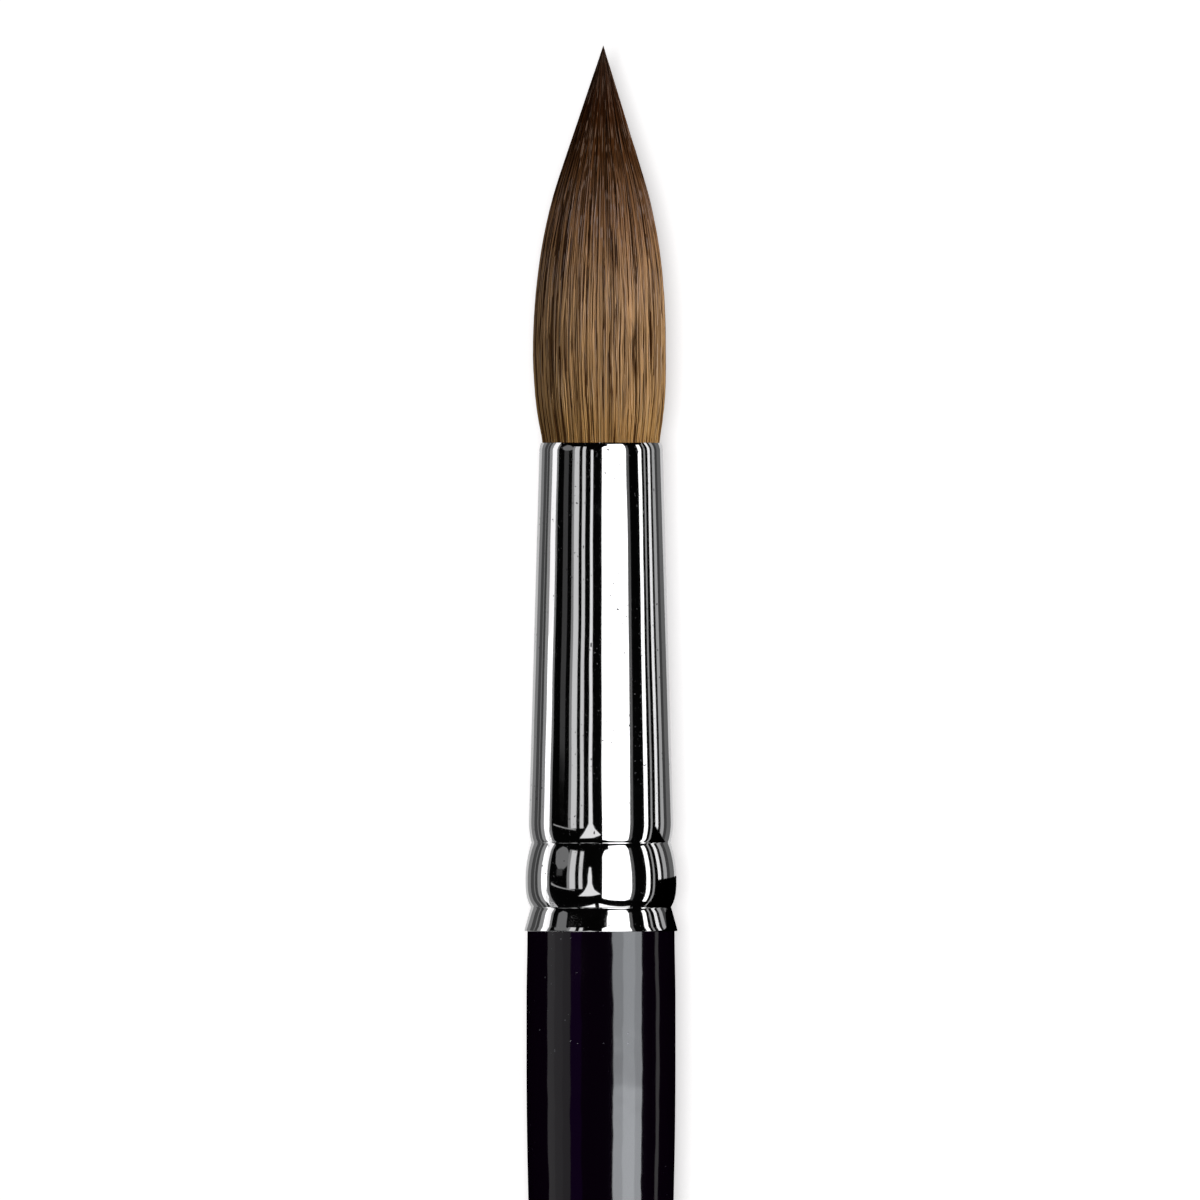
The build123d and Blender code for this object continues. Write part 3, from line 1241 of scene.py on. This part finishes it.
    def _map_hairs(self, mesh: bpy.types.Mesh, along: np.ndarray, around: np.ndarray,
                   column: np.ndarray) -> None:
        """Gives every tone one column of the piece's own map, which all its hairs share.

        Args:
            mesh: The joined hairs.
            along: Place along the hair of each of its vertices.
            around: Place round the hair of each of its vertices.
            column: Column of each hair's tone.
        """
        layer = mesh.uv_layers.new(name=BAKE_MAP)
        size = len(along)
        corners = np.empty(len(mesh.loops), np.int64)
        mesh.loops.foreach_get("vertex_index", corners)
        owner, vertex = corners // size, corners % size
        turn = (around[vertex] / math.tau) % 1.0
        starts = np.empty(len(mesh.polygons), np.int64)
        totals = np.empty(len(mesh.polygons), np.int64)
        mesh.polygons.foreach_get("loop_start", starts)
        mesh.polygons.foreach_get("loop_total", totals)
        face_of = np.repeat(np.arange(len(starts)), totals)
        least = np.full(len(starts), np.inf)
        most = np.full(len(starts), -np.inf)
        np.minimum.at(least, face_of, turn)
        np.maximum.at(most, face_of, turn)
        wraps = (most - least)[face_of] > 0.5
        # The face over the seam runs past a full turn, so all turns leave it room.
        turn = np.where(wraps & (turn < 0.5), turn + 1.0, turn) * 0.7
        uv = self._in_column(column[owner], np.clip(turn, 0.0, 1.0), along[vertex])
        layer.uv.foreach_set("vector", uv.ravel().astype(np.float32))

    def _in_column(self, column: np.ndarray, across: np.ndarray, up: np.ndarray) -> np.ndarray:
        """Finds places on the map.

        Args:
            column: Column of each place.
            across: Share of the way across the column, inside its margins.
            up: Share of the way up, inside the margins.

        Returns:
            The places.
        """
        side, foot = self.margins
        return np.stack([(column + side + (1 - 2 * side) * across) / (self.tones + 1),
                         foot + (1 - 2 * foot) * up], axis=-1)

    def _map_body(self, mesh: bpy.types.Mesh, places: np.ndarray) -> None:
        """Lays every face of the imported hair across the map's last column.

        Args:
            mesh: The turned mesh, closed by a flat face at each end.
            places: Place of each vertex, measured from the axis.
        """
        station, radius = places[:, 0], np.hypot(places[:, 1], places[:, 2])
        inner = radius < WELD
        front = radius[station < station.min() + WELD].max()
        back = radius[station > station.max() - WELD].max()
        turned_in = np.where(station < station.mean(), -front, back)
        up = front + station - station.min() + np.where(inner, turned_in, 0.0)
        layer = mesh.uv_layers.new(name=BAKE_MAP)
        for polygon in mesh.polygons:
            corners = np.array(polygon.vertices)
            middle = places[corners].mean(axis=0)
            turn = middle[1] * places[corners, 2] - middle[2] * places[corners, 1]
            across = np.where(inner[corners], 0.5, turn > 0.0)
            uv = self._in_column(np.full(len(corners), self.tones), across,
                                 up[corners] / up.max())
            for loop, spot in zip(polygon.loop_indices, uv):
                layer.uv[loop].vector = spot

    def model_body(self, zone: Zone) -> bpy.types.Object:
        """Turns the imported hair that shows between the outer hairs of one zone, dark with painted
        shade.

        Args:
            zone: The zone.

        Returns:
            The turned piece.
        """
        start = max(zone.span[0], self.body_ends[0])
        end = min(zone.span[1], self.length - self.body_ends[1])
        stations = np.linspace(start, end, zone.rings + 1)
        outline = self.radius(stations)
        full_inset, full_radius = self.body_inset
        inset = full_inset * np.clip(outline / full_radius, 0.05, 1.0)
        points = [(self.mouth_x + s, r) for s, r in zip(stations, outline - inset)]
        closed = [(points[0][0], 0.0), *points, (points[-1][0], 0.0)]
        body = Hand.turn_profile(zone.name + "_body", closed, self.axis_height, self.body_steps)
        mesh = body.data
        places = np.array([v.co for v in mesh.vertices])
        places -= (self.mouth_x, 0.0, self.axis_height)
        station = places[:, 0]
        for vertex, offset in zip(mesh.vertices, self.sideways(station)):
            vertex.co.y += offset
        # The packed hair takes a dark tone and a low ridge value: painted shade between the outer
        # hairs.
        tone = (self.body_shade_tone + 0.5) / self.tones
        self._mark(mesh, {"tone": np.full(len(station), tone), "station": station / self.length,
                          "ridge_highlight": np.full(len(station), -0.5)})
        self._map_body(mesh, places)
        return body

    def build(self) -> list[bpy.types.Object]:
        """Models the three lengths of the tuft and dresses them.

        Returns:
            The pieces.
        """
        material = HairFinish().material()
        hairs = self.deal_hairs()
        made = []
        for zone in self.zones:
            piece = self.lay(hairs, zone)
            body = self.model_body(zone)
            Hand.drop_selection()
            body.select_set(True)
            piece.select_set(True)
            bpy.context.view_layer.objects.active = piece
            bpy.ops.object.join()
            Hand.dress(piece, material)
            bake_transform(piece)
            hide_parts(*zone.nodes)
            made.append(piece)
        return made


# Studio


class Sees(Enum):
    """Which part of the brush a light is meant for."""

    FLOOR = "floor"
    FERRULE = "ferrule"
    HANDLE = "handle"
    HAIR = "hair"


@dataclass(frozen=True)
class Card:
    """Flat lit or black panel that only shows in reflections.

    Args:
        name: Name of the card.
        outline: Corners, as x in millimetres and degrees from straight up as the brush sees
            them, positive towards -Y.
        strength: Brightness; 0 is a black flag.
        distance: Distance from the brush's axis.
    """

    name: str
    outline: tuple[Point, ...]
    strength: float
    distance: float = 0.4

    def corners(self, axis_height: float) -> list[Vector]:
        """Works out where the corners are.

        Args:
            axis_height: Height of the brush's axis.

        Returns:
            The corners' places.
        """
        angles = [math.radians(angle) for _, angle in self.outline]
        middle = (min(angles) + max(angles)) / 2
        made = []
        for (x, _), angle in zip(self.outline, angles):
            out, along = self.distance, self.distance * math.tan(angle - middle)
            made.append(Vector((x * MM, -out * math.sin(middle) - along * math.cos(middle),
                                axis_height + out * math.cos(middle) - along * math.sin(middle))))
        return made

    def build(self, axis_height: float) -> bpy.types.Object:
        """Draws the card's outline by extruding a point, and fills it.

        Args:
            axis_height: Height of the brush's axis.

        Returns:
            The card, which only glossy rays see.
        """
        spots = self.corners(axis_height)
        Hand.drop_selection()
        bpy.ops.mesh.primitive_plane_add(size=MM, location=spots[0])
        card = Hand.added(self.name)
        bpy.ops.object.mode_set(mode="EDIT")
        bpy.ops.mesh.select_all(action="SELECT")
        bpy.ops.mesh.merge(type="CENTER")
        for spot, after in zip(spots, spots[1:]):
            bpy.ops.mesh.extrude_region_move(TRANSFORM_OT_translate={"value": after - spot})
        bpy.ops.mesh.select_all(action="SELECT")
        bpy.ops.mesh.edge_face_add()
        bpy.ops.object.mode_set(mode="OBJECT")
        Hand.dress(card, self.glow())
        for ray in ("camera", "diffuse", "shadow", "transmission", "volume_scatter"):
            setattr(card, "visible_" + ray, False)
        return card

    def glow(self) -> bpy.types.Material:
        """Builds the plain light-giving material.

        Returns:
            The material.
        """
        bench = Bench(self.name + "_glow")
        light = bench.node("ShaderNodeEmission", {}, {"Strength": self.strength})
        bench.node("ShaderNodeOutputMaterial", {}, {0: light.outputs[0]})
        return bench.material


@dataclass(frozen=True)
class FloorCard(Card):
    """Card that lies on the floor, where the ferrule sees its corners at the given angles."""

    ferrule_radius: float = 5.9 * MM
    lift: float = 0.05 * MM

    def corners(self, axis_height: float) -> list[Vector]:
        """Works out where the corners are on the floor.

        Args:
            axis_height: Height of the brush's axis.

        Returns:
            The corners' places.
        """
        made = []
        for x, degrees in self.outline:
            angle, side = math.radians(abs(degrees)), math.copysign(1.0, degrees)
            out = self.ferrule_radius * math.sin(angle / 2)
            drop = axis_height + self.ferrule_radius * math.cos(angle / 2) - self.lift
            made.append(Vector((x * MM, -side * (out - drop * math.tan(angle)), self.lift)))
        return made


def band(name: str, angles: Point, span: Point, strength: float, kind: type = Card) -> Card:
    """Card with straight edges.

    Args:
        name: Name of the card.
        angles: Degrees of its two long edges.
        span: Lowest and highest x in millimetres.
        strength: Brightness.
        kind: Card or FloorCard.

    Returns:
        The card.
    """
    (low, high), (start, end) = angles, span
    return kind(name, ((start, low), (end, low), (end, high), (start, high)), strength)


@dataclass(frozen=True)
class Lamp:
    """Area light that faces a point of the brush.

    Args:
        name: Name of the light.
        place: Where it hangs.
        target: Point that it faces.
        size: Width along x and height.
        radiance: Brightness of its face.
        sees: What it lights.
        glossy: Whether it shows in gloss.
        diffuse: Whether it shades matt surfaces.
        colour: Colour of its light.
    """

    name: str
    place: tuple[float, float, float]
    target: tuple[float, float, float]
    size: Point
    radiance: float
    sees: Sees
    glossy: bool = False
    diffuse: bool = True
    colour: Colour = (1.0, 1.0, 1.0)

    def hang(self, receivers: bpy.types.Collection) -> bpy.types.Object:
        """Hangs the light and keeps it to its receivers.

        Args:
            receivers: What it lights.

        Returns:
            The light.
        """
        Hand.drop_selection()
        bpy.ops.object.light_add(type="AREA", location=self.place)
        lamp = bpy.context.object
        lamp.name = self.name
        lamp.data.shape = "RECTANGLE"
        lamp.data.size, lamp.data.size_y = self.size
        lamp.data.energy = WATTS_PER_RADIANCE * self.radiance * self.size[0] * self.size[1]
        lamp.data.color = self.colour
        away = (Vector(self.place) - Vector(self.target)).normalized()
        tilt = math.atan2(-away.y, away.z)
        lamp.rotation_euler = (tilt, math.asin(away.x), 0.0)
        lamp.visible_camera = False
        lamp.visible_glossy = self.glossy
        lamp.visible_diffuse = self.diffuse
        lamp.light_linking.receiver_collection = receivers
        return lamp


def beside(angle: float, distance: float, x: float, height: float) -> tuple[float, float, float]:
    """Place at a distance from the axis, at an angle from straight up towards -Y."""
    turn = math.radians(angle)
    return (x, -distance * math.sin(turn), height + distance * math.cos(turn))


def strip(name: str, angles: Point, span: Point, radiance: float, height: float,
          colour: Colour = (1.0, 1.0, 1.0)) -> Lamp:
    """Strip light that only shows in the lacquer.

    Args:
        name: Name of the light.
        angles: Degrees of its two long edges.
        span: Lowest and highest x in millimetres.
        radiance: Brightness of its face.
        height: Height of the axis.
        colour: Colour of its light.

    Returns:
        The light.
    """
    x = sum(span) / 2 * MM
    width = 2 * STRIP_DISTANCE * math.tan(math.radians(angles[1] - angles[0]) / 2)
    return Lamp(name, beside(sum(angles) / 2, STRIP_DISTANCE, x, height), (x, 0.0, height),
                ((span[1] - span[0]) * MM, width), radiance, Sees.HANDLE, True, False, colour)


@dataclass
class Studio:
    """Pale floor, soft light, reflection cards and the camera.

    Args:
        axis_height: Height of the brush's axis.
        view_centre: Middle of the view.
        view_width: Width of the view at the axis.
        lens: Focal length of the camera in millimetres.
        floor_size: Length of the floor's sides.
        room_shade: Brightness of the room as matt surfaces see it.
        main_card: Outline of the broad white panel.
        flared_card: Outline of the slim panel on the other side of the top.
        leaf_card: Outline of the leaf-shaped panel, low on the left.
        strut_card: Outline of the slanting bar beside it.
        left_card: Outline of the white sheet on the floor.
    """

    axis_height: float
    view_centre: Point = (65.46 * MM, 0.0875 * MM)
    view_width: float = 105.0 * MM
    lens: float = 800.0
    floor_size: float = 1.3
    room_shade: float = 0.16
    main_card: tuple[Point, ...] = (
        (-173, 1.5), (217, 1.5), (257, 5), (274, 12), (343, 12), (343, 46), (252, 48),
        (-183, 48), (-220, 42), (-210, 14))
    flared_card: tuple[Point, ...] = (
        (128, -15), (60, -13.5), (32, -13.5), (-18, -10), (-83, -1), (-110, -14), (-116, -36),
        (-48, -27), (32, -19.5), (60, -19.5), (128, -18))
    leaf_card: tuple[Point, ...] = (
        (266, -70), (256, -62), (204, -54), (142, -52), (106, -60), (104, -70), (132, -76),
        (192, -79))
    strut_card: tuple[Point, ...] = ((34, -82), (26, -82), (-30, -41), (-22, -41))
    left_card: tuple[Point, ...] = ((-260, -104), (64, -104), (112, -90.6), (-260, -90.6))

    def cards(self) -> list[Card]:
        """Lists the panels that the nickel sees, from one side over the top to the other.

        Returns:
            The cards.
        """
        whole, upper = (-188.0, 262.0), (-8.0, 234.0)
        near, near_right = (20.0, 125.0), (41.3, 125.0)
        ahead, behind = (450.0, 1500.0), (-1500.0, -450.0)
        wide = (-260.0, 260.0)
        return [
            band("floor_left_pale", (-175, -149), near, 0.55, FloorCard),
            band("floor_left_grey", (-149, -134), near, 0.20, FloorCard),
            band("floor_left_dark", (-134, -123), near, 0.06, FloorCard),
            band("floor_left_line", (-123, -120), near, 0.16, FloorCard),
            band("floor_left_deep", (-120, -113), near, 0.05, FloorCard),
            band("floor_left_mid", (-113, -104), near, 0.27, FloorCard),
            FloorCard("floor_left_white", self.left_card, 1.4),
            band("card_left_edge", (-90.5, -86), whole, 0.2),
            band("card_left_dim", (-72, -62), (66.0, 104.0), 0.045),
            Card("card_left_leaf", self.leaf_card, 0.16),
            Card("card_left_strut", self.strut_card, 0.35),
            band("card_left_fringe", (-54, -49.5), upper, 0.22),
            band("card_left_soft", (-49.5, -40), upper, 0.6),
            band("card_left_line", (-34, -28), upper, 0.6),
            band("card_ahead_left", (-68, -12), ahead, 1.1),
            band("card_ahead_right", (-4, 60), ahead, 1.3),
            band("card_behind_left", (-68, -12), behind, 1.1),
            band("card_behind_right", (-4, 60), behind, 1.3),
            Card("card_left_flared", self.flared_card, 0.8),
            Card("card_main", self.main_card, 1.7),
            band("card_main_fringe", (48, 53.5), whole, 0.1),
            band("card_right", (73.5, 81), whole, 1.5),
            band("card_right_edge", (87.0, 90.8), whole, 0.3),
            band("floor_right_black", (98.5, 90.6), wide, 0.0, FloorCard),
            band("floor_right_white", (104.5, 99.5), near_right, 0.9, FloorCard),
            band("floor_right_line", (111.5, 105), near_right, 0.01, FloorCard),
            band("floor_right_grey", (120.5, 111.5), near_right, 0.37, FloorCard),
            band("floor_right_dark", (130, 120.5), near_right, 0.05, FloorCard),
            band("floor_right_dim", (149, 130), near_right, 0.13, FloorCard),
            band("floor_right_pale", (175, 149), near_right, 0.62, FloorCard),
            band("floor_handle_left", (-175, -90.6), (-260.0, 20.0), 0.0, FloorCard),
            band("floor_handle_right", (175, 90.6), (-260.0, 41.3), 0.0, FloorCard),
            # A dim sheet under the ferrule: painted shade of the floor under the brush, as the
            # nickel sees it.
            band("floor_under", (-177, 177), (38.0, 125.0), 0.1, FloorCard),
        ]

    def lamps(self) -> list[Lamp]:
        """Lists the lights for the floor, the hair and the lacquer.

        Returns:
            The lights.
        """
        height = self.axis_height
        middle = (0.065, 0.0, 0.0)
        hair = (0.095, 0.0, height)
        lacquer_x = -0.25
        cool = (0.92, 0.96, 1.0)
        return [
            Lamp("light_floor", (0.065, 0.20, 2.6), middle, (0.72, 0.72), 16.0, Sees.FLOOR),
            Lamp("light_hair_right", beside(33.0, 0.4, 0.12, height), hair, (0.35, 0.20), 5.3,
                 Sees.HAIR, True),
            Lamp("light_hair_rim", beside(98.0, 0.12, 0.10, height), hair, (0.12, 0.02), 9.0,
                 Sees.HAIR, True, True, (0.85, 0.9, 1.0)),
            Lamp("light_hair_left", beside(-60.0, 0.5, 0.10, height), hair, (0.4, 0.3), 0.6,
                 Sees.HAIR, True),
            strip("light_lacquer_pale", (18.5, 34.0), (-700.0, 12.0), 5.3, height, cool),
            strip("light_lacquer_main", (34.0, 54.0), (-700.0, 12.0), 6.7, height, cool),
            strip("light_lacquer_low", (54.0, 66.0), (-700.0, 12.0), 5.3, height, cool),
            strip("light_lacquer_pale_near", (18.5, 34.0), (12.0, 250.0), 3.6, height, cool),
            strip("light_lacquer_main_near", (34.0, 54.0), (12.0, 250.0), 4.9, height, cool),
            strip("light_lacquer_low_near", (54.0, 66.0), (12.0, 250.0), 3.9, height, cool),
            strip("light_lacquer_left", (-91.0, -77.0), (-700.0, 250.0), 0.44, height),
            strip("light_lacquer_left_mid", (-77.0, -62.0), (-700.0, 250.0), 0.36, height),
            strip("light_lacquer_left_dim", (-62.0, -48.5), (-700.0, 80.0), 0.30, height),
            strip("light_lacquer_tint", (-48.0, -30.0), (-700.0, 80.0), 0.09, height,
                  (0.4, 0.05, 1.0)),
            strip("light_lacquer_ahead", (-54.0, -22.0), (80.0, 1150.0), 5.0, height),
            strip("light_lacquer_ahead_low", (23.0, 61.0), (250.0, 1150.0), 3.0, height),
            Lamp("light_lacquer_line", (lacquer_x, -0.055, 0.001), (lacquer_x, 0.0, height),
                 (0.9, 0.012), 0.5, Sees.HANDLE, True, False),
        ]

    def lay_floor(self) -> bpy.types.Object:
        """Lays the pale floor.

        Returns:
            The floor.
        """
        Hand.drop_selection()
        bpy.ops.mesh.primitive_grid_add(x_subdivisions=8, y_subdivisions=8,
                                        size=self.floor_size)
        floor = Hand.added("floor")
        Hand.dress(floor, FloorFinish().material())
        floor.visible_diffuse = False
        return floor

    def set_world(self) -> None:
        """White all round for the camera, black for gloss and soft grey for shading."""
        world = bpy.data.worlds.new("studio_room")
        bpy.context.scene.world = world
        world.use_nodes = True
        tree = world.node_tree
        tree.nodes.clear()
        path = tree.nodes.new("ShaderNodeLightPath")
        levels = {"Is Camera Ray": 1.0, "Is Glossy Ray": 0.001}
        strength = None
        for ray, level in levels.items():
            switch = tree.nodes.new("ShaderNodeMix")
            switch.inputs[2].default_value = self.room_shade
            if strength is not None:
                tree.links.new(strength, switch.inputs[2])
            switch.inputs[3].default_value = level
            tree.links.new(path.outputs[ray], switch.inputs[0])
            strength = switch.outputs[0]
        background = tree.nodes.new("ShaderNodeBackground")
        tree.links.new(strength, background.inputs["Strength"])
        background.inputs["Color"].default_value = (1.0, 1.0, 1.0, 1.0)
        output = tree.nodes.new("ShaderNodeOutputWorld")
        tree.links.new(background.outputs[0], output.inputs[0])

    def set_camera(self) -> bpy.types.Object:
        """Hangs the camera straight above, with the hair at the top of the view.

        Returns:
            The camera.
        """
        sensor = 36.0
        distance = self.view_width * self.lens / sensor
        place = (*self.view_centre, self.axis_height + distance)
        Hand.drop_selection()
        bpy.ops.object.camera_add(location=place, rotation=(0.0, 0.0, -math.pi / 2))
        camera = bpy.context.object
        camera.name = "camera_above"
        camera.data.lens = self.lens
        camera.data.sensor_width = sensor
        camera.data.clip_start = 0.01
        bpy.context.scene.camera = camera
        return camera

    def build(self, pieces: dict[Sees, list[bpy.types.Object]]) -> None:
        """Sets everything up around the brush.

        Args:
            pieces: The pieces of the brush that each kind of light is kept to.
        """
        seen = {**pieces, Sees.FLOOR: [self.lay_floor()]}
        groups = {}
        for kind, objects in seen.items():
            groups[kind] = bpy.data.collections.new("lit_" + kind.value)
            for item in objects:
                groups[kind].objects.link(item)
        for card in self.cards():
            panel = card.build(self.axis_height)
            panel.light_linking.receiver_collection = groups[Sees.FERRULE]
        for lamp in self.lamps():
            lamp.hang(groups[lamp.sees])
        self.set_world()
        self.set_camera()
        scene = bpy.context.scene
        scene.view_settings.view_transform = "Standard"
        scene.view_settings.look = "None"


def main() -> None:
    """Builds the brush, dresses it and sets up the studio."""
    logging.basicConfig(level=logging.INFO, format="%(name)s: %(message)s")
    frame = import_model()
    ferrule_low, ferrule_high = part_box("ferrule")
    axis_height = (ferrule_low.z + ferrule_high.z) / 2
    ferrule = Ferrule(ferrule_high.x, axis_height).build()
    coat = Handle(ferrule_low.x, axis_height).build()
    inner = Filling(frame["nodes"]).build()
    hair = Tuft(ferrule_high.x, axis_height).build()
    for piece in [ferrule, coat] + inner + hair:
        LOG.info("%s: %d faces", piece.name, len(piece.data.polygons))
    Studio(axis_height).build({Sees.FERRULE: [ferrule], Sees.HANDLE: [coat] + inner,
                               Sees.HAIR: hair})


if __name__ == "__main__":
    main()
